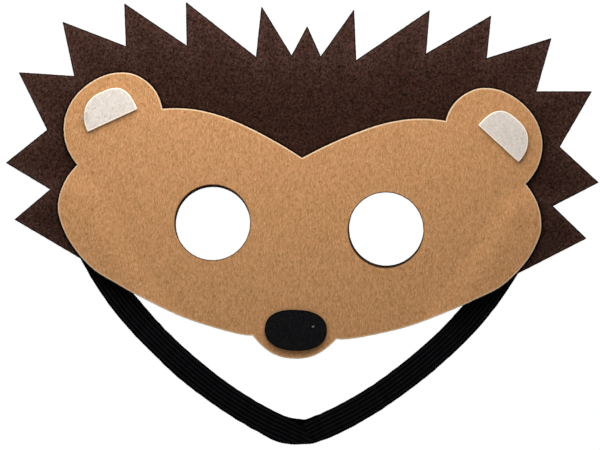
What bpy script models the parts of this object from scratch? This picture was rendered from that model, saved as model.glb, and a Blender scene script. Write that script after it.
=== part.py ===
"""Hedgehog mask of craft felt, with an elastic head strap.

The mask lies face up, as it would on a table, and its strap is laid out below it. A dark
backing carries the spines, a tan face panel with ears and eye holes lies on it, and two
inner ears and a nose lie on the face. The strap's ends run up behind the cheeks, where the
felt drapes over them.

Metres, +Z up. X runs across the mask and Y up the face. The origin is the point of the
underside midway between the eyes. Left and right are as seen from the front.
"""

import math

import bmesh
import bpy
from mathutils import Vector
from mathutils.geometry import delaunay_2d_cdt

# The face panel, measured from the eye line
FACE_WIDTH = 0.1810
EAR_TOP = 0.0554
CHIN_DROP = 0.0496
FACE_SHIFT = -0.0005
FACE_TURN = math.radians(-0.55)

# The spines of the backing, beyond the cheeks and the ears
SPINE_REACH = 0.0207
SPINE_RISE = 0.0272
HEM_TUCK = 0.0006
HEM_START = 0.345

# The eye holes, cut through both felts
EYE_SPACING = 0.0650
EYE_DIAMETER = 0.0282
BACK_EYE_TURN = math.radians(0.55)
BACK_EYE_SHIFT = -0.0003

# The felt pieces on the face
NOSE_WIDTH = 0.0232
NOSE_HEIGHT = 0.0153
NOSE_DROP = 0.0390
NOSE_FULLNESS_ABOVE = 2.4
NOSE_FULLNESS_BELOW = 2.2
INNER_EAR_WIDTH = 0.0205
INNER_EAR_HEIGHT = 0.0114
INNER_EAR_FULLNESS_INSIDE = 3.1
INNER_EAR_FULLNESS_OUTSIDE = 2.2

# The elastic strap
STRAP_WIDTH = 0.0097
STRAP_THICKNESS = 0.0012
STRAP_DROP = 0.0770
STRAP_LEAN = 0.0016
RIB_COUNT = 6
RIB_DEPTH = 0.00022
SELVEDGE = 0.0004
TUCK_HEIGHT = 0.0014
TUCK_LENGTH = 0.0030
TUCK_SLANT = 0.0030
TUCK_START = 0.4

# The stack of felts
BACKING_THICKNESS = 0.0020
FACE_THICKNESS = 0.0020
TRIM_THICKNESS = 0.0012
CLEARANCE = 0.0003

# How the felt drapes over the strap's ends
DRAPE_SPREAD = 0.0100
DRAPE_MARGIN = 0.0010
DRAPE_GRID = 0.0030

# Fineness of the curved outlines, and how near two points must be to be one
MERGE_WITHIN = 1e-7
CURVE_STEP = 0.0026
HOLE_SIDES = 32
TRIM_SIDES = 36

HALF_FACE = FACE_WIDTH / 2
HALF_MASK = HALF_FACE + SPINE_REACH
CROWN = EAR_TOP + SPINE_RISE
EYE_RADIUS = EYE_DIAMETER / 2
FACE_BASE = BACKING_THICKNESS + CLEARANCE
TRIM_BASE = FACE_BASE + FACE_THICKNESS + CLEARANCE
DRAPE_LIFT = STRAP_THICKNESS + CLEARANCE

# Right half of the backing, from the middle spine round to the lowest one.
# Columns: tip x, tip y, then the notch after it x, y, as shares of HALF_MASK and CROWN.
SPINES = [
    (0.000, 0.909, 0.049, 0.774),
    (0.156, 0.992, 0.169, 0.762),
    (0.411, 1.000, 0.404, 0.803),
    (0.619, 0.985, 0.609, 0.791),
    (0.825, 0.892, 0.780, 0.648),
    (0.967, 0.656, 0.865, 0.400),
    (1.000, 0.244, 0.848, 0.130),
]
LOWEST_SPINE = (0.965, -0.012)

# Right half of the face panel, as smooth stretches that meet at corners.
# Columns: x as a share of HALF_FACE, y as a share of EAR_TOP above the eye line, CHIN_DROP below.
BROW = [(0.000, 0.460), (0.110, 0.561), (0.224, 0.649), (0.341, 0.720), (0.464, 0.758), (0.588, 0.752)]
EAR = [
    (0.588, 0.752),
    (0.630, 0.893),
    (0.712, 0.978),
    (0.807, 0.975),
    (0.893, 0.904),
    (0.959, 0.788),
    (0.990, 0.640),
    (0.979, 0.486),
    (0.928, 0.350),
]
CHEEK_AND_JAW = [
    (0.928, 0.350),
    (0.982, 0.214),
    (1.000, 0.052),
    (0.968, -0.118),
    (0.910, -0.271),
    (0.837, -0.396),
    (0.747, -0.487),
    (0.656, -0.572),
    (0.470, -0.719),
    (0.274, -0.817),
    (0.173, -0.837),
]
CHIN = [(0.173, -0.837), (0.137, -0.906), (0.096, -0.960), (0.050, -0.991), (0.000, -1.000)]

# Inner ears. Columns: name, x as a share of HALF_FACE, y as a share of EAR_TOP, turn in degrees.
INNER_EARS = [
    ("inner_ear_left", -0.792, 0.673, 26.5),
    ("inner_ear_right", 0.807, 0.603, -40.5),
]

# Right half of the strap's middle line, from its sewn end to the bottom of the loop.
# Columns: x as a share of HALF_FACE, y as a share of STRAP_DROP.
STRAP_LINE = [
    (0.955, 0.044),
    (0.912, -0.060),
    (0.856, -0.174),
    (0.797, -0.286),
    (0.731, -0.392),
    (0.652, -0.497),
    (0.554, -0.609),
    (0.450, -0.714),
    (0.327, -0.823),
    (0.197, -0.917),
    (0.099, -0.974),
    (0.045, -0.995),
]
STRAP_BOTTOM = (0.0, -1.0)


def linear(channel):
    """Turn one sRGB channel, 0 to 255, to linear light."""
    share = channel / 255
    if share <= 0.04045:
        return share / 12.92
    return ((share + 0.055) / 1.055) ** 2.4


def felt_or_elastic(name, red, green, blue, roughness):
    """A plain cloth material of one colour."""
    material = bpy.data.materials.new(name)
    material.use_nodes = True
    shader = material.node_tree.nodes["Principled BSDF"]
    shader.inputs["Base Color"].default_value = (linear(red), linear(green), linear(blue), 1)
    shader.inputs["Roughness"].default_value = roughness
    shader.inputs["Metallic"].default_value = 0
    return material


def smooth_through(points, step):
    """A smooth line through the points, with its ends bent as the first and last points bend."""
    line = [3 * points[0] - 3 * points[1] + points[2], *points, 3 * points[-1] - 3 * points[-2] + points[-3]]
    smooth = []
    for before, start, end, after in zip(line, line[1:], line[2:], line[3:]):
        steps = max(2, math.ceil((end - start).length / step))
        for index in range(steps):
            share = index / steps
            pull = (end - before) * share
            bend = (2 * before - 5 * start + 4 * end - after) * share ** 2
            twist = (3 * start - before - 3 * end + after) * share ** 3
            smooth.append(start + 0.5 * (pull + bend + twist))
    smooth.append(points[-1].copy())
    return smooth


def mirrored(half):
    """A whole loop from its right half, which starts and ends on the middle line."""
    left = [Vector((-point.x, point.y)) for point in reversed(half[1:-1])]
    return half + left


def on_face(x_share, y_share):
    """A point of the face panel's table, in metres."""
    height = EAR_TOP if y_share > 0 else CHIN_DROP
    return Vector((x_share * HALF_FACE, y_share * height))


def placed(point):
    """Where a point of the face panel lies once the panel is laid on the backing."""
    turned = Vector((
        point.x * math.cos(FACE_TURN) - point.y * math.sin(FACE_TURN),
        point.x * math.sin(FACE_TURN) + point.y * math.cos(FACE_TURN),
    ))
    return turned + Vector((FACE_SHIFT, 0))


def strap_line():
    """The strap's middle line on the surface, from its left sewn end to its right one."""
    right = [Vector((x * HALF_FACE, y * STRAP_DROP)) for x, y in STRAP_LINE]
    left = [Vector((-point.x, point.y)) for point in right]
    bottom = Vector((STRAP_BOTTOM[0] * HALF_FACE, STRAP_BOTTOM[1] * STRAP_DROP))
    points = [*left, bottom, *reversed(right)]
    leaning = [point + Vector((STRAP_LEAN * (point.y / STRAP_DROP) ** 2, 0)) for point in points]
    return smooth_through(leaning, 2 * CURVE_STEP)


def distance_to(point, line):
    """Shortest distance from a point to a line of points."""
    nearest = math.inf
    for start, end in zip(line, line[1:]):
        along = end - start
        share = (point - start).dot(along) / along.length_squared
        foot = start + along * min(1, max(0, share))
        nearest = min(nearest, (point - foot).length)
    return nearest


def drape_height(point, strap):
    """How far the strap under the felt lifts it at a point."""
    beyond = distance_to(point, strap) - STRAP_WIDTH / 2 - DRAPE_MARGIN
    share = min(1, max(0, beyond / DRAPE_SPREAD))
    return DRAPE_LIFT * (1 - share * share * (3 - 2 * share))


def is_draped(point, strap):
    """Whether the felt at a point is near enough to the strap to bend."""
    return distance_to(point, strap) < STRAP_WIDTH / 2 + DRAPE_MARGIN + DRAPE_SPREAD + DRAPE_GRID


def split_draped_edges(loop, strap):
    """Add points to a loop's long edges where the felt bends."""
    fine = []
    for start, end in zip(loop, loop[1:] + loop[:1]):
        steps = max(1, math.ceil((end - start).length / DRAPE_GRID))
        places = [start.lerp(end, index / steps) for index in range(steps)]
        keep = any(is_draped(place, strap) for place in places)
        fine.extend(places if keep else [start])
    return fine


def grid_in_drape(loops, strap):
    """Inner points where the felt bends, in staggered rows clear of the loops."""
    reach = STRAP_WIDTH / 2 + DRAPE_MARGIN + DRAPE_SPREAD + DRAPE_GRID
    borders = [loop + loop[:1] for loop in loops]
    row_gap = DRAPE_GRID * math.sqrt(3) / 2
    low = min(point.y for point in loops[0])
    rows = math.ceil((max(point.y for point in loops[0]) - low) / row_gap)
    columns = math.ceil((HALF_MASK + reach) / DRAPE_GRID)
    points = []
    for row in range(rows + 1):
        for column in range(-columns, columns + 1):
            point = Vector(((column + row % 2 / 2) * DRAPE_GRID, low + row * row_gap))
            if not is_draped(point, strap):
                continue
            if min(distance_to(point, border) for border in borders) > DRAPE_GRID / 3:
                points.append(point)
    return points


def felt_sheet(name, loops, base, thickness, material, strap):
    """A sheet of felt cut to an outline and its holes, draped over the strap at a height."""
    loops = [split_draped_edges(loop, strap) for loop in loops]
    points = []
    rings = []
    for loop in loops:
        rings.append(list(range(len(points), len(points) + len(loop))))
        points.extend(loop)
    points.extend(grid_in_drape(loops, strap))
    inside_with_holes = 2
    places, _, triangles, *_ = delaunay_2d_cdt(points, [], rings, inside_with_holes, MERGE_WITHIN)
    mesh = bmesh.new()
    vertices = [mesh.verts.new((*place, base + drape_height(place, strap))) for place in places]
    for corners in triangles:
        mesh.faces.new([vertices[corner] for corner in corners])
    outside = [vertex for vertex in vertices if not vertex.link_faces]
    bmesh.ops.delete(mesh, geom=outside, context="VERTS")
    top = bmesh.ops.extrude_face_region(mesh, geom=list(mesh.faces), use_keep_orig=True)
    raised = [item for item in top["geom"] if isinstance(item, bmesh.types.BMVert)]
    bmesh.ops.translate(mesh, verts=raised, vec=(0, 0, thickness))
    bmesh.ops.recalc_face_normals(mesh, faces=mesh.faces)
    return add_piece(name, mesh, material)


def add_piece(name, mesh, material):
    """Put a finished mesh in the mask's collection as one named object."""
    data = bpy.data.meshes.new(name)
    mesh.to_mesh(data)
    mesh.free()
    data.materials.append(material)
    piece = bpy.data.objects.new(name, data)
    bpy.data.collections["hedgehog_mask"].objects.link(piece)
    return piece


def eye_holes(place):
    """The two eye holes as loops, with their centres laid by the given placing."""
    holes = []
    for side in (-1, 1):
        centre = place(Vector((side * EYE_SPACING / 2, 0)))
        turns = [2 * math.pi * index / HOLE_SIDES for index in range(HOLE_SIDES)]
        holes.append([centre + EYE_RADIUS * Vector((math.cos(turn), math.sin(turn))) for turn in turns])
    return holes


def face_outline():
    """The face panel's outline, clockwise from the notch in the brow."""
    half = []
    for stretch in (BROW, EAR, CHEEK_AND_JAW, CHIN):
        points = [on_face(*row) for row in stretch]
        half.extend(smooth_through(points, CURVE_STEP)[:-1])
    half.append(on_face(*CHIN[-1]))
    return [placed(point) for point in mirrored(half)]


def backing_outline():
    """The backing's outline: spines above, and a hem tucked behind the face's lower edge."""
    right = []
    for tip_x, tip_y, notch_x, notch_y in SPINES:
        right.append(Vector((tip_x * HALF_MASK, tip_y * CROWN)))
        right.append(Vector((notch_x * HALF_MASK, notch_y * CROWN)))
    right.append(Vector((LOWEST_SPINE[0] * HALF_MASK, LOWEST_SPINE[1] * CROWN)))
    left = [Vector((-point.x, point.y)) for point in reversed(right[1:])]
    face = face_outline()
    hem = []
    for before, point, after in zip(face[-1:] + face, face, face[1:] + face[:1]):
        if point.y < -HEM_START * CHIN_DROP:
            along = (after - before).normalized()
            hem.append(point + HEM_TUCK * Vector((along.y, -along.x)))
    return right + hem + left


def turn_with_backing(point):
    """The backing's eye holes are punched slightly out of line with the face's."""
    turned = Vector((point.x * math.cos(BACK_EYE_TURN), point.x * math.sin(BACK_EYE_TURN)))
    return turned + Vector((BACK_EYE_SHIFT, 0))


def full_oval(turn, fullness):
    """A point of an oval of half sizes 1 and 1, which is squarer the fuller it is and round at 2."""
    across = math.cos(turn)
    up = math.sin(turn)
    reach = (abs(across) ** fullness + abs(up) ** fullness) ** (-1 / fullness)
    return across * reach, up * reach


def nose_outline():
    """A squat oval: fuller above its middle than below."""
    centre = Vector((FACE_SHIFT, -NOSE_DROP))
    loop = []
    for index in range(TRIM_SIDES):
        turn = 2 * math.pi * index / TRIM_SIDES
        above = math.sin(turn) > 0
        x, y = full_oval(turn, NOSE_FULLNESS_ABOVE if above else NOSE_FULLNESS_BELOW)
        loop.append(centre + Vector((x * NOSE_WIDTH / 2, y * NOSE_HEIGHT / 2)))
    return loop


def inner_ear_outline(x_share, y_share, degrees):
    """A half-moon whose straight side is its base, fuller on its side towards the other ear."""
    centre = Vector((x_share * HALF_FACE, y_share * EAR_TOP))
    turn = math.radians(degrees)
    across = Vector((math.cos(turn), math.sin(turn)))
    up = Vector((-math.sin(turn), math.cos(turn)))
    steps = TRIM_SIDES // 2
    loop = []
    for index in range(steps + 1):
        angle = math.pi * index / steps
        inside = math.cos(angle) * x_share < 0
        x, y = full_oval(angle, INNER_EAR_FULLNESS_INSIDE if inside else INNER_EAR_FULLNESS_OUTSIDE)
        loop.append(centre + across * x * INNER_EAR_WIDTH / 2 + up * y * INNER_EAR_HEIGHT)
    return loop


def rib_profile():
    """The strap's cross-section as pairs: place across it from -1 to 1, and height from 0 to 1."""
    cord = 2 * (1 - 2 * SELVEDGE / STRAP_WIDTH) / RIB_COUNT
    dip = RIB_DEPTH / STRAP_THICKNESS
    upper = [(-1, 1 - dip)]
    for rib in range(RIB_COUNT):
        middle = -1 + 2 * SELVEDGE / STRAP_WIDTH + (rib + 0.5) * cord
        upper.extend([(middle - cord / 4, 1), (middle + cord / 4, 1)])
        if rib < RIB_COUNT - 1:
            upper.append((middle + cord / 2, 1 - dip))
    upper.append((1, 1 - dip))
    lower = [(across, 1 - height) for across, height in reversed(upper)]
    return upper + lower


def strap_piece(strap, material):
    """The ribbed elastic along its line, with a slanting tuck standing up at the inside of its bend."""
    profile = rib_profile()
    bottom = min(range(len(strap)), key=lambda index: strap[index].y)
    mesh = bmesh.new()
    rings = []
    travelled = [0]
    for start, end in zip(strap, strap[1:]):
        travelled.append(travelled[-1] + (end - start).length)
    for index, point in enumerate(strap):
        along = strap[min(index + 1, len(strap) - 1)] - strap[max(index - 1, 0)]
        inward = Vector((-along.y, along.x)).normalized()
        ring = []
        for across, height in profile:
            from_crease = travelled[index] - travelled[bottom] - TUCK_SLANT * (1 - across)
            rise = max(0, (across + TUCK_START) / (1 + TUCK_START)) ** 2
            tuck = TUCK_HEIGHT * rise * math.exp(-(from_crease / TUCK_LENGTH) ** 2)
            flat = point + inward * across * STRAP_WIDTH / 2
            ring.append(mesh.verts.new((*flat, height * STRAP_THICKNESS + tuck)))
        rings.append(ring)
    for ring, following in zip(rings, rings[1:]):
        for index in range(len(ring)):
            after = (index + 1) % len(ring)
            mesh.faces.new((ring[index], ring[after], following[after], following[index]))
    mesh.faces.new(rings[0])
    mesh.faces.new(list(reversed(rings[-1])))
    bmesh.ops.recalc_face_normals(mesh, faces=mesh.faces)
    bmesh.ops.triangulate(mesh, faces=mesh.faces)
    return add_piece("strap", mesh, material)


def build():
    """Make every piece of the mask."""
    for item in list(bpy.data.objects):
        bpy.data.objects.remove(item)
    bpy.context.scene.collection.children.link(bpy.data.collections.new("hedgehog_mask"))

    brown_felt = felt_or_elastic("dark_brown_felt", 60, 39, 33, 0.95)
    tan_felt = felt_or_elastic("tan_felt", 187, 137, 92, 0.95)
    white_felt = felt_or_elastic("off_white_felt", 230, 225, 220, 0.95)
    black_felt = felt_or_elastic("black_felt", 24, 24, 25, 0.95)
    elastic = felt_or_elastic("black_elastic", 14, 14, 16, 0.75)

    strap = strap_line()
    backing = [backing_outline(), *eye_holes(turn_with_backing)]
    face = [face_outline(), *eye_holes(placed)]
    felt_sheet("spine_backing", backing, 0, BACKING_THICKNESS, brown_felt, strap)
    felt_sheet("face_panel", face, FACE_BASE, FACE_THICKNESS, tan_felt, strap)
    for name, *place in INNER_EARS:
        felt_sheet(name, [inner_ear_outline(*place)], TRIM_BASE, TRIM_THICKNESS, white_felt, strap)
    felt_sheet("nose", [nose_outline()], TRIM_BASE, TRIM_THICKNESS, black_felt, strap)
    strap_piece(strap, elastic)


build()
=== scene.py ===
"""Looks of the felt hedgehog mask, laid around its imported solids.

Each felt is cut again as a fine sheet on its solid's own outline: low lumps on top, a rounded
cut edge, and loose fibres that lie on it and stand out of its edge. The strap is made again as
braided elastic whose ribs meet in a crease at its bend, with its ends sewn behind the cheeks.

Metres, in the frame of the solids: X across the mask, Y up the face, Z out of it.
"""

import math

import bpy
import numpy as np
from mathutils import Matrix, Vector, noise
from mathutils.geometry import delaunay_2d_cdt
from mathutils.kdtree import KDTree

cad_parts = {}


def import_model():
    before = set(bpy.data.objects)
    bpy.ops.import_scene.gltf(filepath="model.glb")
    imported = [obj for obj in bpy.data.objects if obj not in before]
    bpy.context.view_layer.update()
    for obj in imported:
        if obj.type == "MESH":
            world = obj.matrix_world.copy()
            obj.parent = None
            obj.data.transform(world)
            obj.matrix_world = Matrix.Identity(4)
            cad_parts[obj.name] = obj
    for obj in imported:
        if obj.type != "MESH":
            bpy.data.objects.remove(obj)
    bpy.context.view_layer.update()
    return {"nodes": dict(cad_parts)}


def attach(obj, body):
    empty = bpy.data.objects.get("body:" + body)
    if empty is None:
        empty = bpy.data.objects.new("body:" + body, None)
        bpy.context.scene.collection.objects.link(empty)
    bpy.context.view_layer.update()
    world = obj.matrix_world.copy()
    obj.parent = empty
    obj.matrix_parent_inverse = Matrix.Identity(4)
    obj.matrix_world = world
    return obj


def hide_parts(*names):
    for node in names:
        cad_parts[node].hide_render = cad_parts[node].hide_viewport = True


MM = 0.001

# Reading the solids: how far up a face on top looks, and how sharply an outline turns at a corner
UPWARD = 0.4
CORNER_TURN = math.radians(33)
STRAP_CORNER_TURN = math.radians(60)

# Fineness of the sheets
RIM_STEP = 0.55 * MM
TOP_GRID = 0.9 * MM
UNDERSIDE_GRID = 2.4 * MM
NEAREST_EDGES = 6
INSIDE_WITH_HOLES = 2
MERGE_WITHIN = 1e-8

# Rows of points beside a rim, as shares of its rounding, and the share of a row's own distance
# that its points keep from every other stretch of the rim
RIM_ROWS = (0.2, 0.6, 1.0, 1.5, 2.1)
CLEARANCE = 0.93

# The cut edges of the large felts and of the small, thinner ones
EDGE_ROUNDING = {"large": 0.24 * MM, "small": 0.26 * MM}
CUT_REACH = {"large": 0.50 * MM, "small": 0.55 * MM}
EDGE_BULGE = {"large": 0.10 * MM, "small": 0.02 * MM}
UNDERSIDE_ROUNDING = 0.25 * MM
EDGE_FLUFF = 0.07 * MM
FLUFF_SIZE = 0.9 * MM

# The edges of the eye holes: how far their cut edge bulges, and how far and how strongly shade is
# painted along them
HOLE_BULGE = {"spine_backing": 0.15 * MM, "face_panel": 0.05 * MM}
HOLE_SHADE_REACH = 0.34 * MM
HOLE_SHADE_STRENGTH = 1.2

# The felts' wide and narrow lumps: how much finer than LUMP_SIZE they are across and up, their
# place in the noise, and their share of LUMP_HEIGHT
LUMP_SIZE = 2.6 * MM
LUMP_HEIGHT = 0.030 * MM
LUMPS = (
    (1.0, 0.8, 0, 1.0),
    (2.1, 1.7, 9, 0.6),
)

# Rows of points beside a glued piece, where shade is painted on the felt under it: how far out
# a row lies and how dark its painted shade is. They are narrower on some felts.
SEAM_SHADE_ROWS = ((-0.40 * MM, 1.0), (0.0, 1.0), (0.42 * MM, 1.0), (0.75 * MM, 0.45), (1.15 * MM, 0.0))
SEAM_SHADE_WIDTH = {"spine_backing": 1.0, "face_panel": 0.6}

# How far in from its outer rim a felt is painted paler, a painted sheen
RIM_REACH = 6.0 * MM

# How the felts drape over the strap's ends
DRAPE_MARGIN = 1.0 * MM
DRAPE_SPREAD = 10.0 * MM

# Every loose fibre
FIBRE_RADIUS = 0.024 * MM
FIBRE_SIDES = 3

# Fibres that lie on a felt: the spread of their turn from upright and of their bend, their
# lengths as shares of the felt's own, how high they arch in mm, and how deep their ends sink in
LYING_TURN = 0.45
LYING_BEND = 0.5
LYING_LENGTHS = (0.5, 1.5)
LYING_RISE = (0.02, 0.10)
LYING_SINK = 0.03 * MM

# Fibres that stand out of a cut edge: where they start as shares of the felt's thickness, their
# length and its range, where their points lie along them, the spread of their lean and how much
# a lean shortens them, and how far they waver up and down in mm
EDGE_FIBRE_STARTS = (0.25, 0.95)
EDGE_FIBRE_LENGTH = 0.5 * MM
EDGE_FIBRE_RANGE = (0.4, 1.3)
EDGE_FIBRE_POINTS = (-0.35, 0.2, 0.6, 1.0)
EDGE_FIBRE_LEAN = 0.7
LEAN_SHORTENS = 0.3
EDGE_FIBRE_WAVER = 0.06

# Ravelled fibres that curl: the points along each, its turn at each point, the range of its
# length, and how high it arches
CURL_POINTS = 9
CURL_TURNS = (0.35, 0.75)
CURL_RANGE = (0.7, 1.3)
CURL_RISE = 0.25 * MM
RAVEL_SEED = 11

# The braided elastic: its rows and columns of points, and how much the columns crowd to its
# edges. Places across it run from -1 at the outer edge to 1 at the inner one.
STRAP_STEP = 0.30 * MM
STRAP_COLUMNS = 60
CROWDING = 0.25

# Its section
STRAP_UNDERSIDE = 0.06 * MM
STRAP_TOP = 1.15 * MM
STRAP_EDGE = 0.45 * MM
SECTION_SQUARENESS = 14

# Its ribs, which are shallower below, and the plaits on them
RIB_COUNT = 6
RIB_DEPTH = 0.34 * MM
SHALLOWER_BELOW = 0.5
SELVEDGE = 0.4 * MM
PLAIT_PITCH = 0.95 * MM
PLAIT_HEIGHT = 0.07 * MM
PLAIT_SLANT = 0.5
PLAIT_STAGGER = 0.37

# How its edges wander and swell, and how steeply that fades towards its middle
EDGE_WANDER = 0.16 * MM
WANDER_SIZE = 3 * MM
PLAIT_WAVER = 0.35
WANDER_STEEPNESS = 4
SWELL = 0.03 * MM

# Where its edges lie off its solid's: which edge, 0 the outer and 1 the inner, how far along
# from the bend in mm, the reach each way in mm, and the shift outwards in mm
EDGE_SHIFTS = (
    (1, 3.5, 2.5, -0.40),
    (0, -7.0, 4.5, 0.40),
    (0, -48.0, 8.0, 0.30),
    (0, 36.0, 14.0, -0.15),
    (1, -77.0, 8.0, 0.28),
    (1, 77.0, 7.0, 0.25),
)

# The crease and the tuck at its bend, where they start and how they fade across it
CREASE_SLANT = 3.0 * MM
CREASE_REACH = 13.0 * MM
CREASE_EASE = 0.6
CREASE_WIDTH = 0.55 * MM
CREASE_DEPTH = 0.22 * MM
CREASE_START = -0.9
CREASE_FADE = 0.5
TUCK_START = -0.4
TUCK_HEIGHT = 1.1 * MM
TUCK_LENGTH = 3.0 * MM
TUCK_BELOW = 0.8

# How dark and narrow the shade painted in its grooves is, the painted shade that plaits and the
# crease add, and how dark its wear is
GROOVE_DARK = 1.15
GROOVE_NARROWNESS = 3.2
PLAIT_DARK = 0.35
WORN_DARK = 0.25
WORN_SIZE = 2.5 * MM
CREASE_DARK = 0.35

# The stitches on its hidden ends: the rows' distances from the end, the stitches in a row, and
# each one's thread, thinner at its ends, and its height under the strap
STITCH_ROWS = (2.0 * MM, 4.5 * MM, 14.0 * MM, 16.5 * MM)
STITCH_COUNT = 5
STITCH_GAP = 1.6 * MM
STITCH_LENGTH = 1.25 * MM
STITCH_RINGS = 7
STITCH_SIDES = 6
THREAD_RADIUS = 0.05 * MM
THREAD_SWELL = 0.11 * MM
STITCH_HEIGHT = 0.22 * MM
STITCH_SAG = 0.04 * MM

# The photograph, 600 by 450 pixels, is taken from straight above the mask
PHOTO_WIDTH = 600
PIXEL = 0.3749 * MM
VIEW_TURN = math.radians(1.9)
VIEW_CENTRE = Vector((-0.22 * MM, 0.49 * MM, 3.0 * MM))
LENS = 300
SENSOR = 36
CLIP_END = 10

# The light table, the tent of light, and the lamps: name, place, width, depth and watts
TABLE_GLOW = 0.985
TABLE_REACH = 1.5
TENT_LIGHT = 0.22
LAMPS = (
    ("key", (-0.024, 0.145, 0.125), 0.36, 0.17, 0.615),
    ("fill", (0.0, -0.20, 0.20), 0.30, 0.30, 0.12),
)

# Each felt: node, piece, whether it is large or small, slot, fibres lying on it, their length in
# mm, and the spacing of the fibres at its edge in mm
FELTS = (
    ("spine_backing", "backing_felt", "large", "brown_felt", 5200, 2.2, 0.9),
    ("face_panel", "face_felt", "large", "tan_felt", 5200, 2.0, 0.9),
    ("inner_ear_left", "left_ear_felt", "small", "white_felt", 160, 1.5, 0.7),
    ("inner_ear_right", "right_ear_felt", "small", "white_felt", 160, 1.5, 0.7),
    ("nose", "nose_felt", "small", "black_felt", 260, 1.5, 0.7),
)

# The pieces glued on each felt
GLUED_ON = {
    "spine_backing": ("face_panel",),
    "face_panel": ("inner_ear_left", "inner_ear_right", "nose"),
}

# Ravelled fibres: piece, the felt that they lie on, their place, number, length, spread and radius
RAVELS = (
    ("left_ear_ravel", "inner_ear_left", (-82.4 * MM, 38.2 * MM), 9, 2.6 * MM, 0.30 * MM, 0.05 * MM),
    ("nose_lint", "nose", (5.7 * MM, -37.2 * MM), 4, 0.8 * MM, 0.08 * MM, 0.05 * MM),
)

# Each slot's felt: the colours of its matted fibres, of its cut edge, of the shade painted beside
# pieces glued on it and along an eye hole, the size of its streaks in mm, and how many times
# paler its painted sheen makes it at its rim
FELT_LOOKS = {
    "brown_felt": {
        "name": "brown_needled_felt",
        "shade": "110602",
        "light": "3D261E",
        "fleck": "4A3B34",
        "pit": "080302",
        "cut": "190D09",
        "shaded_seams": "020000",
        "hole_shade": "050201",
        "streak": (0.75, 0.95),
        "sheen_at_rim": (1.80, 2.05, 2.35, 1),
    },
    "tan_felt": {
        "name": "tan_needled_felt",
        "shade": "A27647",
        "light": "C99469",
        "fleck": "D8AA82",
        "pit": "855D32",
        "cut": "DFC29F",
        "shaded_seams": "B0855B",
        "hole_shade": "140904",
        "streak": (0.56, 1.45),
        "sheen_at_rim": (1, 1, 1, 1),
    },
    "white_felt": {
        "name": "off_white_needled_felt",
        "shade": "C8BEB5",
        "light": "D6CCC2",
        "fleck": "E4DBD2",
        "pit": "B2AAA2",
        "cut": "FDF0DC",
        "shaded_seams": "B8B1AA",
        "hole_shade": "B8B1AA",
        "streak": (0.90, 1.10),
        "sheen_at_rim": (1, 1, 1, 1),
    },
    "black_felt": {
        "name": "black_needled_felt",
        "shade": "0A0A0B",
        "light": "19191B",
        "fleck": "2E2E32",
        "pit": "050506",
        "cut": "040303",
        "shaded_seams": "050506",
        "hole_shade": "050506",
        "streak": (0.50, 0.80),
        "sheen_at_rim": (1, 1, 1, 1),
    },
}

# Flecks and pits as shares of a felt's streaks, across and up
FLECK_SHARE = (0.9, 0.7)
PIT_SHARE = (1.1, 0.8)

# Sizes in mm, across and up the mask, of the patterns in the materials
BLOTCH_SIZE = (6.0, 7.0)
TINT_SIZE = (3.2, 3.6)
YARN_SIZE = (0.30, 0.30)
TWIST_SIZE = (0.15, 0.15)
HAZE_SIZE = (0.8, 0.8)
NAP_HEIGHT = 0.08 * MM
YARN_HEIGHT = 0.05 * MM

# What blotches and tints multiply a felt's colour by
DARKER = (0.98, 0.98, 0.98, 1)
BRIGHTER = (1.02, 1.02, 1.02, 1)
WARMER = (1.02, 0.993, 0.98, 1)
COOLER = (0.98, 1.007, 1.02, 1)
UNCHANGED = (1, 1, 1, 1)

# The spans of a noise that become 0 to 1: most of it, its middle, and its peaks alone
SOFT = (0.30, 0.70)
CRISP = (0.35, 0.65)
PEAKS = (0.60, 0.76)

# The sockets of a Mix node for colours
MIX_FACTOR, MIX_A, MIX_B, MIX_RESULT = 0, 6, 7, 2


# Materials

def linear(hex_colour):
    """An sRGB hex colour such as "BB895C" as linear red, green, blue and alpha."""
    channels = [int(hex_colour[place:place + 2], 16) / 255 for place in (0, 2, 4)]
    return [c / 12.92 if c <= 0.04045 else ((c + 0.055) / 1.055) ** 2.4 for c in channels] + [1]


def add_node(tree, kind, inputs=None, **settings):
    """Add a node with its settings, and set or link its inputs, given by name or by place."""
    node = tree.nodes.new(kind)
    for name, value in settings.items():
        setattr(node, name, value)
    for name, value in (inputs or {}).items():
        if isinstance(value, bpy.types.NodeSocket):
            tree.links.new(value, node.inputs[name])
        else:
            node.inputs[name].default_value = value
    return node


def new_material(name, **surface):
    """A material whose Principled surface has the given constant inputs."""
    material = bpy.data.materials.new(name)
    material.use_nodes = True
    shader = material.node_tree.nodes["Principled BSDF"]
    for socket, value in surface.items():
        shader.inputs[socket.replace("_", " ")].default_value = value
    return material, material.node_tree, shader


def layered(tree, colour, *layers):
    """A colour with others laid over it in turn, each as far as its factor says."""
    for factor, other, blend in layers:
        inputs = {MIX_FACTOR: factor, MIX_A: colour, MIX_B: other}
        mixed = add_node(tree, "ShaderNodeMix", inputs, data_type="RGBA", blend_type=blend)
        colour = mixed.outputs[MIX_RESULT]
    return colour


def grain(tree, size, span, detail=2.0, seed=0.0):
    """A noise from 0 to 1 whose grains have the given size in mm across and up the mask."""
    across, up = size
    place = add_node(tree, "ShaderNodeTexCoord").outputs["Object"]
    scaled = add_node(tree, "ShaderNodeMapping", {
        "Vector": place,
        "Location": (seed, -seed, seed),
        "Scale": (1 / (across * MM), 1 / (up * MM), 1 / (across * MM)),
    })
    pattern = add_node(tree, "ShaderNodeTexNoise", {
        "Vector": scaled.outputs["Vector"],
        "Scale": 1.0,
        "Detail": detail,
        "Roughness": 0.6,
    })
    low, high = span
    spread = add_node(tree, "ShaderNodeMapRange", {
        "Value": pattern.outputs["Fac"],
        "From Min": low,
        "From Max": high,
    })
    return spread.outputs["Result"]


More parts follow.
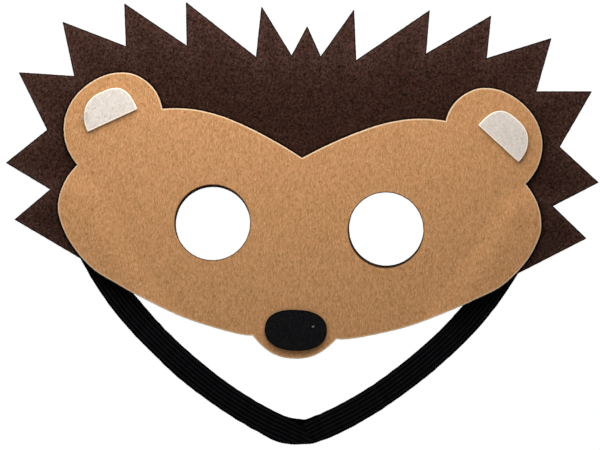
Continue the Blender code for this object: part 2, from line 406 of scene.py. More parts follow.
def needled_felt(name, shade, light, fleck, pit, cut, shaded_seams, hole_shade, streak, sheen_at_rim):
    """Needled polyester felt: matted fibres, mostly upright, and a denser, paler cut edge.

    Its fibres scatter light and hardly shine. Their streaks, two or three fibres wide, are what
    shows from arm's length, with single pale fibres and dark pits among them. Towards its rim
    the dark felt is painted paler and greyer, a painted sheen. The edges of the eye holes are
    painted dark with shade.
    """
    material, tree, shader = new_material(name, Roughness=0.92, IOR=1.5, Specular_IOR_Level=0.04)
    fleck_size = [share * side for share, side in zip(FLECK_SHARE, streak)]
    pit_size = [share * side for share, side in zip(PIT_SHARE, streak)]
    streaks = grain(tree, streak, SOFT, detail=3.0)
    flecks = grain(tree, fleck_size, PEAKS, seed=7.3)
    pits = grain(tree, pit_size, PEAKS, seed=21.9)
    blotches = grain(tree, BLOTCH_SIZE, SOFT, seed=40.1)
    tints = grain(tree, TINT_SIZE, SOFT, seed=60.7)
    near_rim, edge, seam_shade, hole = [
        add_node(tree, "ShaderNodeAttribute", attribute_name=mark).outputs["Fac"]
        for mark in ("near_rim", "cut", "seam_shade", "hole")
    ]
    uneven = layered(tree, DARKER, (blotches, BRIGHTER, "MIX"))
    dyed = layered(tree, WARMER, (tints, COOLER, "MIX"))
    # Painted sheen: the felt paler and greyer towards its outer rim
    rim_sheen = layered(tree, UNCHANGED, (near_rim, sheen_at_rim, "MIX"))
    colour = layered(
        tree,
        linear(shade),
        (streaks, linear(light), "MIX"),
        (flecks, linear(fleck), "MIX"),
        (pits, linear(pit), "MIX"),
        (1.0, uneven, "MULTIPLY"),
        (1.0, dyed, "MULTIPLY"),
        (1.0, rim_sheen, "MULTIPLY"),
        (edge, linear(cut), "MIX"),
        # painted shade beside the pieces glued on top
        (seam_shade, linear(shaded_seams), "MIX"),
        # painted shade along the edges of the eye holes
        (hole, linear(hole_shade), "MIX"),
    )
    tree.links.new(colour, shader.inputs["Base Color"])
    nap = add_node(tree, "ShaderNodeBump", {
        "Height": streaks,
        "Strength": 0.6,
        "Distance": NAP_HEIGHT,
    })
    tree.links.new(nap.outputs["Normal"], shader.inputs["Normal"])
    return material


def loose_fibre(name, shade, light):
    """Single polyester fibres pulled out of the felt, each a little darker or paler than it."""
    material, tree, shader = new_material(name, Roughness=0.8, IOR=1.5, Specular_IOR_Level=0.05)
    tone = add_node(tree, "ShaderNodeAttribute", attribute_name="tone").outputs["Fac"]
    colour = layered(tree, linear(shade), (tone, linear(light), "MIX"))
    tree.links.new(colour, shader.inputs["Base Color"])
    return material


def braided_elastic():
    """Black polyester yarn braided over rubber: a faint sheen on the ribs, and painted shade in the
    grooves, between the plaits and in the crease, with some wear.
    """
    material, tree, shader = new_material(
        "braided_elastic", Roughness=0.60, IOR=1.5, Specular_IOR_Level=0.02
    )
    shade_and_wear = add_node(tree, "ShaderNodeAttribute", attribute_name="shade_and_wear").outputs["Fac"]
    yarn = grain(tree, YARN_SIZE, CRISP)
    colour = layered(
        tree,
        linear("0C0C0E"),
        (yarn, linear("1A1A1D"), "MIX"),
        # painted shade in grooves, plaits and crease, black, with the strap's wear
        (shade_and_wear, linear("000000"), "MIX"),
    )
    tree.links.new(colour, shader.inputs["Base Color"])
    bump = add_node(tree, "ShaderNodeBump", {
        "Height": yarn,
        "Strength": 0.4,
        "Distance": YARN_HEIGHT,
    })
    tree.links.new(bump.outputs["Normal"], shader.inputs["Normal"])
    return material


def sewing_thread():
    """Black spun polyester thread, slightly shiny."""
    material, tree, shader = new_material(
        "sewing_thread", Roughness=0.5, IOR=1.5, Specular_IOR_Level=0.3
    )
    twist = grain(tree, TWIST_SIZE, CRISP)
    colour = layered(tree, linear("0E0E10"), (twist, linear("1C1C1F"), "MIX"))
    tree.links.new(colour, shader.inputs["Base Color"])
    return material


def opal_acrylic():
    """White opal acrylic of a light table, lit from below, so it reads as plain white."""
    material, tree, shader = new_material(
        "opal_acrylic",
        Roughness=0.9,
        IOR=1.49,
        Specular_IOR_Level=0.1,
        Emission_Color=(1, 1, 1, 1),
        Emission_Strength=TABLE_GLOW,
    )
    haze = grain(tree, HAZE_SIZE, SOFT)
    colour = layered(tree, linear("474747"), (haze, linear("4B4B4B"), "MIX"))
    tree.links.new(colour, shader.inputs["Base Color"])
    return material


# Outlines and heights, read from the solids

def flat_point(vertex):
    """A vertex seen from above, rounded so that equal places compare as equal."""
    return round(vertex.co.x, 6), round(vertex.co.y, 6)


def flat_array(points):
    """Points of a flat line as an array, a row for each."""
    return np.array([point[:] for point in points])


def rims(node):
    """The outlines of a solid's upper side, with the felt on the left of each one's run."""
    vertices = node.data.vertices
    edges = set()
    for face in node.data.polygons:
        if face.normal.z > UPWARD:
            ring = [flat_point(vertices[index]) for index in face.vertices]
            edges.update(zip(ring, ring[1:] + ring[:1]))
    following = {start: end for start, end in edges if (end, start) not in edges}
    loops = []
    while following:
        start = min(following)
        loop = [start]
        while following[loop[-1]] != start:
            loop.append(following.pop(loop[-1]))
        following.pop(loop[-1])
        loops.append([Vector(point) for point in loop])
    return sorted(loops, key=len, reverse=True)


def top_heights(node):
    """The heights of the corners of a solid's upper faces."""
    return [
        node.data.vertices[index].co.z
        for face in node.data.polygons
        if face.normal.z > UPWARD
        for index in face.vertices
    ]


def turn_at(loop, index):
    """How sharply a loop turns at one of its points."""
    before = loop[index] - loop[index - 1]
    after = loop[(index + 1) % len(loop)] - loop[index]
    return abs(before.angle_signed(after, 0))


def corners_of(loop, sharper_than):
    """The places in a loop where it turns more than an angle."""
    return [index for index in range(len(loop)) if turn_at(loop, index) > sharper_than]


def smooth_through(points, step, closed=False):
    """A smooth line through the points, with a point about every step."""
    if closed:
        line = [points[-1], *points, points[0], points[1]]
    elif len(points) == 2:
        line = [2 * points[0] - points[1], *points, 2 * points[1] - points[0]]
    else:
        first = 3 * points[0] - 3 * points[1] + points[2]
        last = 3 * points[-1] - 3 * points[-2] + points[-3]
        line = [first, *points, last]
    smooth = []
    for before, start, end, after in zip(line, line[1:], line[2:], line[3:]):
        steps = max(1, round((end - start).length / step))
        for index in range(steps):
            share = index / steps
            pull = (end - before) * share
            bend = (2 * before - 5 * start + 4 * end - after) * share ** 2
            twist = (3 * start - before - 3 * end + after) * share ** 3
            smooth.append(start + 0.5 * (pull + bend + twist))
    if not closed:
        smooth.append(points[-1].copy())
    return smooth


def fine_rim(loop):
    """A loop again with a point every RIM_STEP, smooth between its corners."""
    corners = corners_of(loop, CORNER_TURN)
    if not corners:
        return smooth_through(loop, RIM_STEP, closed=True)
    rim = []
    for start, end in zip(corners, [*corners[1:], corners[0] + len(loop)]):
        stretch = [loop[index % len(loop)] for index in range(start, end + 1)]
        rim.extend(smooth_through(stretch, RIM_STEP)[:-1])
    return rim


def inward_at(loop, index):
    """The direction across a loop into the felt."""
    along = loop[(index + 1) % len(loop)] - loop[index - 1]
    return Vector((-along.y, along.x)).normalized()


def distance_from(loops):
    """A function that gives how far a place is from the loops."""
    edges = [(start, end) for loop in loops for start, end in zip(loop, loop[1:] + loop[:1])]
    tree = KDTree(len(edges))
    for index, (start, end) in enumerate(edges):
        tree.insert(((start + end) / 2).to_3d(), index)
    tree.balance()

    def distance(place):
        nearest = math.inf
        for _, index, _ in tree.find_n(place.to_3d(), NEAREST_EDGES):
            start, end = edges[index]
            along = end - start
            share = min(1, max(0, (place - start).dot(along) / along.length_squared))
            nearest = min(nearest, (place - start - share * along).length)
        return nearest

    return distance


# The strap's run and the drape of the felts over it

class Strap:
    """The strap's middle line, half its width, and how far it lifts a felt laid over it."""

    def __init__(self, node, felt):
        loop = rims(node)[0]
        corners = corners_of(loop, STRAP_CORNER_TURN)
        ordered = [loop[index % len(loop)] for index in range(corners[0], corners[0] + len(loop))]
        ends = [index - corners[0] for index in corners] + [len(loop)]
        stretches = [[*ordered, ordered[0]][start:end + 1] for start, end in zip(ends, ends[1:])]
        lengths = [sum((b - a).length for a, b in zip(run, run[1:])) for run in stretches]
        outer, inner = stretches[0::2] if lengths[0] > lengths[1] else stretches[1::2]
        pairs = list(zip(outer, reversed(inner)))
        if pairs[0][0].x > pairs[-1][0].x:
            pairs.reverse()
        self.line = [(one + other) / 2 for one, other in pairs]
        self.half_width = (pairs[0][0] - pairs[0][1]).length / 2
        self.lift = max(top_heights(felt)) - min(top_heights(felt))

    def drape(self, places):
        """How far the strap lifts the felts at each place."""
        start = np.array(self.line[:-1])
        along = np.diff(np.array(self.line), axis=0)
        share = ((places[:, None] - start) * along).sum(2) / (along ** 2).sum(1)
        foot = start + np.clip(share, 0, 1)[..., None] * along
        gap = np.linalg.norm(places[:, None] - foot, axis=2).min(1)
        beyond = (gap - self.half_width - DRAPE_MARGIN) / DRAPE_SPREAD
        return self.lift * (1 - smoothstep(beyond))


def smoothstep(share):
    """A share from 0 to 1, eased at both ends."""
    share = np.clip(share, 0, 1)
    return share * share * (3 - 2 * share)


# The felts

def staggered_grid(loop, step):
    """Places in staggered rows over the box around a loop."""
    low = Vector((min(point.x for point in loop), min(point.y for point in loop)))
    high = Vector((max(point.x for point in loop), max(point.y for point in loop)))
    row_gap = step * math.sqrt(3) / 2
    rows = math.ceil((high.y - low.y) / row_gap)
    columns = math.ceil((high.x - low.x) / step)
    return [
        low + Vector(((column + row % 2 / 2) * step, row * row_gap))
        for row in range(rows + 1)
        for column in range(columns + 1)
    ]


def filled(loops, rounding, step, shaded_seams=(), seam_shade_width=1.0):
    """Triangles inside the loops, with rows beside the rims where the edge is rounded.

    Beside the outlines of pieces stuck on top there are rows too, where shade is painted. Gives the
    places, how far each lies inside the rim, how much painted shade is there, the triangles, and
    the rims' own places.
    """
    distance = distance_from(loops)
    from_glued = distance_from(shaded_seams) if shaded_seams else lambda place: math.inf
    points = [point for loop in loops for point in loop]
    insets = [0.0] * len(points)
    rings = []
    for loop in loops:
        first = rings[-1][-1] + 1 if rings else 0
        rings.append(list(range(first, first + len(loop))))
    for share in RIM_ROWS:
        inset = share * rounding
        for loop in loops:
            for index, point in enumerate(loop):
                place = point + inset * inward_at(loop, index)
                if distance(place) > CLEARANCE * inset:
                    points.append(place)
                    insets.append(inset)
    seam_shade = [0.0] * len(points)
    for outline in shaded_seams:
        for offset, strength in SEAM_SHADE_ROWS:
            offset *= seam_shade_width
            for index, point in enumerate(outline):
                place = point - offset * inward_at(outline, index)
                inset = distance(place)
                if inset > rounding and from_glued(place) > CLEARANCE * abs(offset):
                    points.append(place)
                    insets.append(inset)
                    seam_shade.append(strength)
    for place in staggered_grid(loops[0], step):
        inset = distance(place)
        if inset > rounding + step / 3 and from_glued(place) > SEAM_SHADE_ROWS[-1][0] * seam_shade_width:
            points.append(place)
            insets.append(inset)
            seam_shade.append(0.0)
    places, _, triangles, sources, *_ = delaunay_2d_cdt(
        points, [], rings, INSIDE_WITH_HOLES, MERGE_WITHIN
    )
    made_from = {source: index for index, merged in enumerate(sources) for source in merged}
    inset_of = [insets[merged[0]] if merged else rounding for merged in sources]
    seam_shade_at = [seam_shade[merged[0]] if merged else 0.0 for merged in sources]
    rim_rings = [[made_from[index] for index in ring] for ring in rings]
    return np.array(places), np.array(inset_of), np.array(seam_shade_at), triangles, rim_rings


def lumps(places, seed):
    """The low, soft lumps of needled felt at each place, from -1 to 1 or so."""
    heights = np.zeros(len(places))
    for finer_across, finer_up, offset, share in LUMPS:
        heights += share * np.array([
            noise.noise(Vector((finer_across * x, finer_up * y, seed + offset)))
            for x, y in places / LUMP_SIZE
        ])
    return heights


def edge_drop(inset, rounding):
    """How far a rounded edge lies below the sheet's face, at a distance inside the rim."""
    inset = np.minimum(inset, rounding)
    return rounding - np.sqrt(np.maximum(0, rounding ** 2 - (rounding - inset) ** 2))


class Felt:
    """One felt piece: its sizes from its solid, and the sheet and fibres made from them."""

    def __init__(self, node, strap, size, hole_bulge, seed):
        self.base = min(vertex.co.z for vertex in node.data.vertices)
        self.thickness = min(top_heights(node)) - self.base
        self.loops = [fine_rim(loop) for loop in rims(node)]
        self.loop_arrays = [flat_array(loop) for loop in self.loops]
        self.strap = strap
        self.rounding = EDGE_ROUNDING[size]
        self.cut_reach = CUT_REACH[size]
        self.edge_bulge = EDGE_BULGE[size]
        self.hole_bulge = hole_bulge
        self.seed = seed

    def face_height(self, places):
        """The height of the sheet's upper face at each place."""
        return self.base + self.thickness + self.strap.drape(places)

    def sheet(self, name, material, glued_on, seam_shade_width):
        """The felt as a closed mesh, and the area of its upper face.

        Marks on its points tell its material how near the eye holes, the cut edge, the outer rim
        and the pieces stuck on it are. It paints shade beside the holes and those pieces, and a
        painted sheen near the rim.
        """
        upper, upper_inset, seam_shade, upper_faces, upper_rims = filled(
            self.loops, self.rounding, TOP_GRID, [felt.loops[0] for felt in glued_on], seam_shade_width
        )
        lower, lower_inset, _, lower_faces, lower_rims = filled(
            self.loops, UNDERSIDE_ROUNDING, UNDERSIDE_GRID
        )
        flat = np.clip(upper_inset / self.rounding, 0, 1)
        upper_z = self.face_height(upper) - edge_drop(upper_inset, self.rounding)
        upper_z += LUMP_HEIGHT * lumps(upper, self.seed) * flat
        lower_z = self.base + self.strap.drape(lower) + edge_drop(lower_inset, UNDERSIDE_ROUNDING)
        wall, wall_z, wall_faces = self.cut_wall(upper_rims, upper_z, lower_rims, lower_z)
        points = np.vstack([
            np.column_stack([upper, upper_z]),
            np.column_stack([lower, lower_z]),
            np.column_stack([wall, wall_z]),
        ])
        faces = [*upper_faces]
        faces += [[index + len(upper) for index in reversed(face)] for face in lower_faces]
        faces += wall_faces
        piece = add_mesh(name, points, faces, material)

        by_hole = self.near_holes(upper, self.cut_reach)
        # painted shade along the edges of the eye holes
        hole_shade = np.clip(HOLE_SHADE_STRENGTH - upper_inset / HOLE_SHADE_REACH, 0, 1) * by_hole
        cut = (1 - np.clip(upper_inset / self.cut_reach, 0, 1) ** 2) * ~by_hole
        lower_cut = 1 - np.clip(lower_inset / UNDERSIDE_ROUNDING, 0, 1)
        lower_by_hole = self.near_holes(lower, UNDERSIDE_ROUNDING)
        wall_by_hole = np.arange(len(wall)) >= len(self.loops[0])
        marks = {
            "hole": (hole_shade, lower_by_hole, wall_by_hole),
            "cut": (cut, lower_cut, np.ones(len(wall))),
            # painted sheen near the outer rim
            "near_rim": (np.exp(-upper_inset / RIM_REACH), np.zeros(len(lower)), np.ones(len(wall))),
            # painted shade beside the pieces glued on top
            "seam_shade": (seam_shade, np.zeros(len(lower)), np.zeros(len(wall))),
        }
        for mark, values in marks.items():
            set_attribute(piece, mark, np.concatenate(values))

        corners = upper[np.array(upper_faces)]
        sides = corners[:, 1:] - corners[:, :1]
        doubled = np.abs(sides[:, 0, 0] * sides[:, 1, 1] - sides[:, 0, 1] * sides[:, 1, 0]).sum()
        return piece, float(doubled / 2)

    def cut_wall(self, upper_rims, upper_z, lower_rims, lower_z):
        """The cut edge between the two faces: one uneven row of points, and its faces."""
        row = []
        heights = []
        faces = []
        for loop, above, below in zip(self.loops, upper_rims, lower_rims):
            bulge = self.edge_bulge if loop is self.loops[0] else self.hole_bulge
            first = len(upper_z) + len(lower_z) + len(row)
            for index, point in enumerate(loop):
                height = (upper_z[above[index]] + lower_z[below[index]]) / 2
                wander = noise.noise(Vector((*point, height)) / FLUFF_SIZE)
                row.append(point - inward_at(loop, index) * (bulge + EDGE_FLUFF * wander))
                heights.append(height)
            count = len(loop)
            for index in range(count):
                after = (index + 1) % count
                middle = first + index, first + after
                high = above[index], above[after]
                low = below[index] + len(upper_z), below[after] + len(upper_z)
                faces.append([*reversed(high), *middle])
                faces.append([*reversed(middle), *low])
        return flat_array(row), np.array(heights), faces

    def near_holes(self, places, reach):
        """Whether each place is nearer than the reach to the edge of an eye hole."""
        if not self.loops[1:]:
            return np.zeros(len(places), bool)
        distance = distance_from(self.loops[1:])
        return np.array([distance(Vector(place)) < reach for place in places])

    def lying_fibres(self, count, rng, length):
        """Paths of loose fibres that lie on the sheet, mostly upright."""
        low, high = self.loop_arrays[0].min(0), self.loop_arrays[0].max(0)
        distance = distance_from(self.loops)
        starts = []
        while len(starts) < count:
            place = low + rng.random(2) * (high - low)
            if self.holds(place) and distance(Vector(place)) > self.rounding:
                starts.append(place)
        starts = np.array(starts)
        angle = math.pi / 2 + rng.normal(0, LYING_TURN, count)
        bend = rng.normal(0, LYING_BEND, count)
        reach = length * rng.uniform(*LYING_LENGTHS, count)
        rise = rng.uniform(*LYING_RISE, count) * MM
        paths = np.zeros((count, 4, 3))
        for step, share in enumerate((0, 1 / 3, 2 / 3, 1)):
            heading = angle + bend * (share - 0.5)
            travel = (share - 0.5) * reach
            paths[:, step, 0] = starts[:, 0] + np.cos(heading) * travel
            paths[:, step, 1] = starts[:, 1] + np.sin(heading) * travel
            arch = -LYING_SINK if share in (0, 1) else rise
            paths[:, step, 2] = self.face_height(paths[:, step, :2]) + arch
        on_felt = [self.holds(path[0, :2]) and self.holds(path[-1, :2]) for path in paths]
        return paths[on_felt]

    def edge_fibres(self, spacing, rng, length):
        """Paths of fibres that stand out of the cut edge."""
        paths = []
        for loop in self.loops:
            index = 0
            while index < len(loop):
                point = loop[index]
                out = -inward_at(loop, index)
                side = Vector((-out.y, out.x))
                height = self.base + self.thickness * rng.uniform(*EDGE_FIBRE_STARTS)
                height += float(self.strap.drape(np.array([point[:]]))[0])
                reach = length * rng.uniform(*EDGE_FIBRE_RANGE)
                lean = float(np.clip(rng.normal(0, EDGE_FIBRE_LEAN), -1, 1))
                path = []
                for share in EDGE_FIBRE_POINTS:
                    shorter = 1 - LEAN_SHORTENS * abs(lean) * max(0, share)
                    spot = point + out * reach * share * shorter
                    spot = spot + side * reach * lean * share * abs(share)
                    waver = rng.normal(0, EDGE_FIBRE_WAVER) * MM * (1 + share)
                    path.append((*spot, height + waver))
                paths.append(path)
                index += max(1, int(rng.exponential(spacing / RIM_STEP)))
        return np.array(paths)

    def holds(self, place):
        """Whether a place is inside the felt and out of its holes."""
        inside = False
        for loop in self.loop_arrays:
            x, y = loop[:, 0], loop[:, 1]
            next_x, next_y = np.roll(x, -1), np.roll(y, -1)
            crosses = (y > place[1]) != (next_y > place[1])
            reach = x + (place[1] - y) / np.where(crosses, next_y - y, 1) * (next_x - x)
            if np.count_nonzero(crosses & (place[0] < reach)) % 2:
                inside = not inside
        return inside


def add_mesh(name, points, faces, material):
    """A smooth-shaded mesh object with one material."""
    mesh = bpy.data.meshes.new(name)
    mesh.from_pydata(points.tolist(), [], faces)
    mesh.materials.append(material)
    mesh.shade_smooth()
    mesh.update()
    piece = bpy.data.objects.new(name, mesh)
    bpy.context.scene.collection.objects.link(piece)
    return piece


def set_attribute(piece, name, values):
    """Keep a number at each point of a mesh, for its material."""
    attribute = piece.data.attributes.new(name, "FLOAT", "POINT")
    attribute.data.foreach_set("value", np.asarray(values, np.float32))


def fibre_mesh(name, paths, radius, material, rng):
    """Fibres as one mesh: each a three-sided thread along its points, pointed at both ends."""
    count, steps, _ = paths.shape
    along = np.gradient(paths, axis=1)[:, 1:-1]
    along /= np.maximum(1e-9, np.linalg.norm(along, axis=2, keepdims=True))
    side = np.cross(along, (0, 0, 1))
    side /= np.maximum(1e-9, np.linalg.norm(side, axis=2, keepdims=True))
    up = np.cross(side, along)
    angles = 2 * math.pi * np.arange(FIBRE_SIDES) / FIBRE_SIDES + math.pi / 2
    spread = np.cos(angles)[:, None] * side[:, :, None] + np.sin(angles)[:, None] * up[:, :, None]
    rings = (paths[:, 1:-1, None] + radius * spread).reshape(count, -1, 3)
    points = np.concatenate([paths[:, :1], rings, paths[:, -1:]], axis=1)
    size = points.shape[1]
    last_ring = size - 1 - FIBRE_SIDES
    one = []
    for corner in range(FIBRE_SIDES):
        after = (corner + 1) % FIBRE_SIDES
        one.append([0, 1 + after, 1 + corner])
        for ring in range(steps - 3):
            here = 1 + FIBRE_SIDES * ring
            there = here + FIBRE_SIDES
            one.append([here + corner, here + after, there + after])
            one.append([here + corner, there + after, there + corner])
        one.append([size - 1, last_ring + corner, last_ring + after])
    faces = (np.array(one)[None] + size * np.arange(count)[:, None, None]).reshape(-1, 3)
    piece = add_mesh(name, points.reshape(-1, 3), faces.tolist(), material)
    set_attribute(piece, "tone", np.repeat(rng.random(count), size))
    return piece


def curled_fibres(middle, height, count, length, spread, rng):
    """Paths of loose fibres that curl up and over near one place."""
    paths = np.zeros((count, CURL_POINTS, 3))
    for fibre in range(count):
        place = Vector(middle) + Vector(rng.normal(0, 1, 2)) * spread
        heading = rng.uniform(0, 2 * math.pi)
        curl = rng.uniform(*CURL_TURNS) * rng.choice((-1, 1))
        reach = length * rng.uniform(*CURL_RANGE)
        for step in range(CURL_POINTS):
            share = step / (CURL_POINTS - 1)
            lift = math.sin(math.pi * share) * CURL_RISE
            paths[fibre, step] = (*place, height + lift)
            ahead = Vector((math.cos(heading), math.sin(heading)))
            place = place + ahead * reach / (CURL_POINTS - 1)
            heading += curl
    return paths


# The strap

def edge_wander(travelled, bottom):
    """How far the strap's outer and inner edge lie outside its solid's, all along it."""
    wander = np.array([
        [
            noise.noise(Vector((s / WANDER_SIZE, side, 0)))
            + PLAIT_WAVER * math.sin(2 * math.pi * s / PLAIT_PITCH + side)
            for side in (-1, 1)
        ]
        for s in travelled
    ]) * EDGE_WANDER
    for edge, from_bend, reach, shift in EDGE_SHIFTS:
        away = (travelled - bottom - from_bend * MM) / (reach * MM)
        wander[:, edge] += shift * MM * np.exp(-away ** 2)
    return wander


def strap_mesh(strap, material):
    """The elastic and its length: rows of points across it, raised by ribs, plaits and crease."""
    line = flat_array(smooth_through(strap.line, STRAP_STEP))
    along = np.gradient(line, axis=0)
    along /= np.linalg.norm(along, axis=1, keepdims=True)
    inward = np.column_stack([-along[:, 1], along[:, 0]])
    travelled = np.concatenate([[0], np.cumsum(np.linalg.norm(np.diff(line, axis=0), axis=1))])
    bottom = travelled[np.argmin(line[:, 1])]
    crowded = np.cos(np.linspace(math.pi, 0, STRAP_COLUMNS))
    across = CROWDING * crowded + (1 - CROWDING) * np.linspace(-1, 1, STRAP_COLUMNS)

    wander = edge_wander(travelled, bottom)
    outwards = np.where(across < 0, wander[:, :1], wander[:, 1:])
    half = strap.half_width + SWELL + outwards * np.abs(across) ** WANDER_STEEPNESS
    place = line[:, None] + inward[:, None] * (across * half)[..., None]
    s = np.repeat(travelled[:, None], STRAP_COLUMNS, axis=1)
    from_crease = s - bottom - CREASE_SLANT * (1 - across)

    # The ribs run straight up to the crease from both sides
    lateral = across * strap.half_width
    for side in (-1, 1):
        anchor = np.argmin(np.abs(travelled - (bottom + CREASE_SLANT + side * CREASE_REACH)))
        straight = (place - line[anchor]) @ inward[anchor]
        left_over = CREASE_REACH - np.abs(s - bottom - CREASE_SLANT)
        weight = smoothstep(left_over / (CREASE_EASE * CREASE_REACH))
        here = from_crease * side > 0
        lateral = np.where(here, lateral + weight * (straight - lateral), lateral)

    rib = (lateral + strap.half_width - SELVEDGE) / (2 * (strap.half_width - SELVEDGE)) * RIB_COUNT
    inside = (rib > 0) & (rib < RIB_COUNT)
    over = 2 * (rib - np.floor(rib)) - 1
    hump = np.where(inside, np.sqrt(np.maximum(0, 1 - over ** 2)), 0)
    phase = PLAIT_STAGGER * np.floor(rib)
    plait = np.abs(np.sin(math.pi * (s / PLAIT_PITCH + PLAIT_SLANT * np.abs(over) + phase)))
    uneven = np.array([noise.noise(Vector((far / WORN_SIZE, 0, 3))) for far in travelled])[:, None]
    crease = np.exp(-(from_crease / CREASE_WIDTH) ** 2)
    crease = crease * smoothstep((across - CREASE_START) / CREASE_FADE)
    tuck = np.maximum(0, (across - TUCK_START) / (1 - TUCK_START)) ** 2
    tuck = TUCK_HEIGHT * tuck * np.exp(-(from_crease / TUCK_LENGTH) ** 2)
    fullness = np.sqrt(np.maximum(0, 1 - np.abs(across) ** SECTION_SQUARENESS))

    middle = (STRAP_TOP + STRAP_UNDERSIDE) / 2
    thick = (STRAP_TOP - STRAP_UNDERSIDE) / 2
    upper = thick - RIB_DEPTH * (1 - hump) + PLAIT_HEIGHT * hump * (plait - 1) - CREASE_DEPTH * crease
    lower = thick - SHALLOWER_BELOW * RIB_DEPTH * (1 - hump)
    rim = STRAP_EDGE / 2
    top = middle + rim + (upper - rim) * fullness + tuck
    under = middle - rim - (lower - rim) * fullness + TUCK_BELOW * tuck

    rows = len(line)
    points = np.concatenate([
        np.concatenate([place, top[..., None]], axis=2),
        np.concatenate([place[:, ::-1], under[:, ::-1, None]], axis=2),
    ], axis=1).reshape(-1, 3)
    ring = 2 * STRAP_COLUMNS
    row, column = np.meshgrid(np.arange(rows - 1), np.arange(ring), indexing="ij")
    after = (column + 1) % ring
    quads = np.stack([
        row * ring + column, (row + 1) * ring + column, (row + 1) * ring + after, row * ring + after
    ], axis=2)
    faces = quads.reshape(-1, 4).tolist()
    last = (rows - 1) * ring
    faces.append(list(range(ring)))
    faces.append([last + index for index in reversed(range(ring))])
    piece = add_mesh("elastic_strap", points, faces, material)

    # painted shade between the plaits, and real wear that varies along the strap
    plait_shade_and_wear = PLAIT_DARK * (1 - plait) + WORN_DARK * uneven
    # painted shade in the grooves and along the crease
    shade_and_wear = GROOVE_DARK * (1 - hump ** GROOVE_NARROWNESS) + plait_shade_and_wear + CREASE_DARK * crease
    shade_and_wear = np.clip(shade_and_wear, 0, 1)
    set_attribute(piece, "shade_and_wear", np.concatenate([shade_and_wear, shade_and_wear[:, ::-1]], axis=1).ravel())
    return piece, float(travelled[-1])


def stitch_points(middle, along, over):
    """One stitch across the strap, as rings of points round its thread."""
    points = []
    for ring in range(STITCH_RINGS):
        share = ring / (STITCH_RINGS - 1)
        bulge = math.sin(math.pi * share)
        thread = THREAD_RADIUS + THREAD_SWELL * bulge ** 0.5
        centre = middle + over * (share - 0.5) * STITCH_LENGTH
        height = STITCH_HEIGHT - STITCH_SAG * bulge
        for side in range(STITCH_SIDES):
            turn = 2 * math.pi * side / STITCH_SIDES
            spot = centre + along * math.cos(turn) * thread
            points.append((*spot, height + math.sin(turn) * thread))
    return points


def stitch_faces(first):
    """The faces of one stitch whose points start at a place in the list."""
    last = first + (STITCH_RINGS - 1) * STITCH_SIDES
    faces = []
    for ring in range(first, last, STITCH_SIDES):
        for side in range(STITCH_SIDES):
            one, other = ring + side, ring + (side + 1) % STITCH_SIDES
            faces.append([one, one + STITCH_SIDES, other + STITCH_SIDES, other])
    faces.append([first + side for side in range(STITCH_SIDES)])
    faces.append([last + side for side in reversed(range(STITCH_SIDES))])
    return faces


def stitches(strap, material):
    """Rows of stitches across both hidden ends of the strap, on its underside."""
    line = flat_array(smooth_through(strap.line, STRAP_STEP))
    points = []
    faces = []
    for end in (0, 1):
        for from_end in STITCH_ROWS:
            index = int(from_end / STRAP_STEP)
            index = index if end == 0 else len(line) - 1 - index
            along = Vector(line[index + 1] - line[index - 1]).normalized()
            over = Vector((-along.y, along.x))
            for stitch in range(STITCH_COUNT):
                from_middle = (stitch - (STITCH_COUNT - 1) / 2) * STITCH_GAP
                faces.extend(stitch_faces(len(points)))
                points.extend(stitch_points(Vector(line[index]) + over * from_middle, along, over))
    return add_mesh("strap_stitches", np.array(points), faces, material)


# The scene around the mask

def studio():
    """A white light table in a tent of light, a soft light above the brow and a weak one below."""
    world = bpy.data.worlds.new("light_tent")
    world.use_nodes = True
    world.node_tree.nodes["Background"].inputs["Color"].default_value = (1, 1, 1, 1)
    world.node_tree.nodes["Background"].inputs["Strength"].default_value = TENT_LIGHT
    bpy.context.scene.world = world
    for name, place, width, depth, power in LAMPS:
        lamp = bpy.data.lights.new(name, "AREA")
        lamp.shape = "ELLIPSE"
        lamp.size = width
        lamp.size_y = depth
        lamp.energy = power
        light = bpy.data.objects.new(name, lamp)
        light.location = place
        light.visible_camera = False
        light.rotation_euler = (-Vector(place)).to_track_quat("-Z", "Y").to_euler()
        bpy.context.scene.collection.objects.link(light)
    corners = TABLE_REACH * np.array([(-1, -1, 0), (1, -1, 0), (1, 1, 0), (-1, 1, 0)])
    floor = add_mesh("floor", corners, [[0, 1, 2, 3]], opal_acrylic())
    bpy.context.scene.view_settings.view_transform = "Standard"


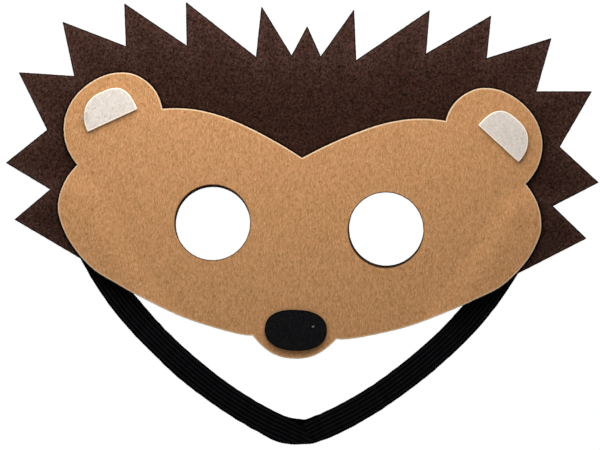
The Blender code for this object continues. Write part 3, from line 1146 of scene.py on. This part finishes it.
def camera():
    """A long lens straight above the mask, turned as the photograph is."""
    data = bpy.data.cameras.new("camera")
    data.lens = LENS
    data.sensor_width = SENSOR
    data.clip_end = CLIP_END
    view = bpy.data.objects.new("camera", data)
    view.location = VIEW_CENTRE + Vector((0, 0, PHOTO_WIDTH * PIXEL * LENS / SENSOR))
    view.rotation_euler = (0, 0, VIEW_TURN)
    bpy.context.scene.collection.objects.link(view)
    bpy.context.scene.camera = view


def main():
    """Lay the felts, the loose fibres and the strap on the table, and measure them."""
    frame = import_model()
    nodes = frame["nodes"]
    strap = Strap(nodes["strap"], nodes["face_panel"])
    felts = {slot: needled_felt(**looks) for slot, looks in FELT_LOOKS.items()}
    fibres = {
        slot: loose_fibre(looks["name"] + "_fibre", looks["shade"], looks["light"])
        for slot, looks in FELT_LOOKS.items()
    }

    cut = {
        node: Felt(nodes[node], strap, size, HOLE_BULGE.get(node, 0.0), seed=10.0 * order)
        for order, (node, _, size, *_) in enumerate(FELTS)
    }
    for order, (node, name, _, slot, lying, length, spacing) in enumerate(FELTS):
        rng = np.random.default_rng(order + 1)
        felt = cut[node]
        glued_on = [cut[other] for other in GLUED_ON.get(node, ())]
        piece, area = felt.sheet(name, felts[slot], glued_on, SEAM_SHADE_WIDTH.get(node, 1.0))
        paths = np.concatenate([
            felt.lying_fibres(lying, rng, length * MM),
            felt.edge_fibres(spacing * MM, rng, EDGE_FIBRE_LENGTH),
        ])
        fluff = fibre_mesh(name + "_fibres", paths, FIBRE_RADIUS, fibres[slot], rng)
        for item in (piece, fluff):
            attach(item, "root")
        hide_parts(node)
        width, height = felt.loop_arrays[0].max(0) - felt.loop_arrays[0].min(0)

    rng = np.random.default_rng(RAVEL_SEED)
    for name, under, place, count, length, spread, radius in RAVELS:
        height = float(cut[under].face_height(np.array([place]))[0])
        paths = curled_fibres(place, height, count, length, spread, rng)
        ravel = fibre_mesh(name, paths, radius, fibres["white_felt"], rng)
        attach(ravel, "root")

    elastic, length = strap_mesh(strap, braided_elastic())
    thread = stitches(strap, sewing_thread())
    for item in (elastic, thread):
        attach(item, "root")
    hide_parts("strap")

    studio()
    camera()


main()
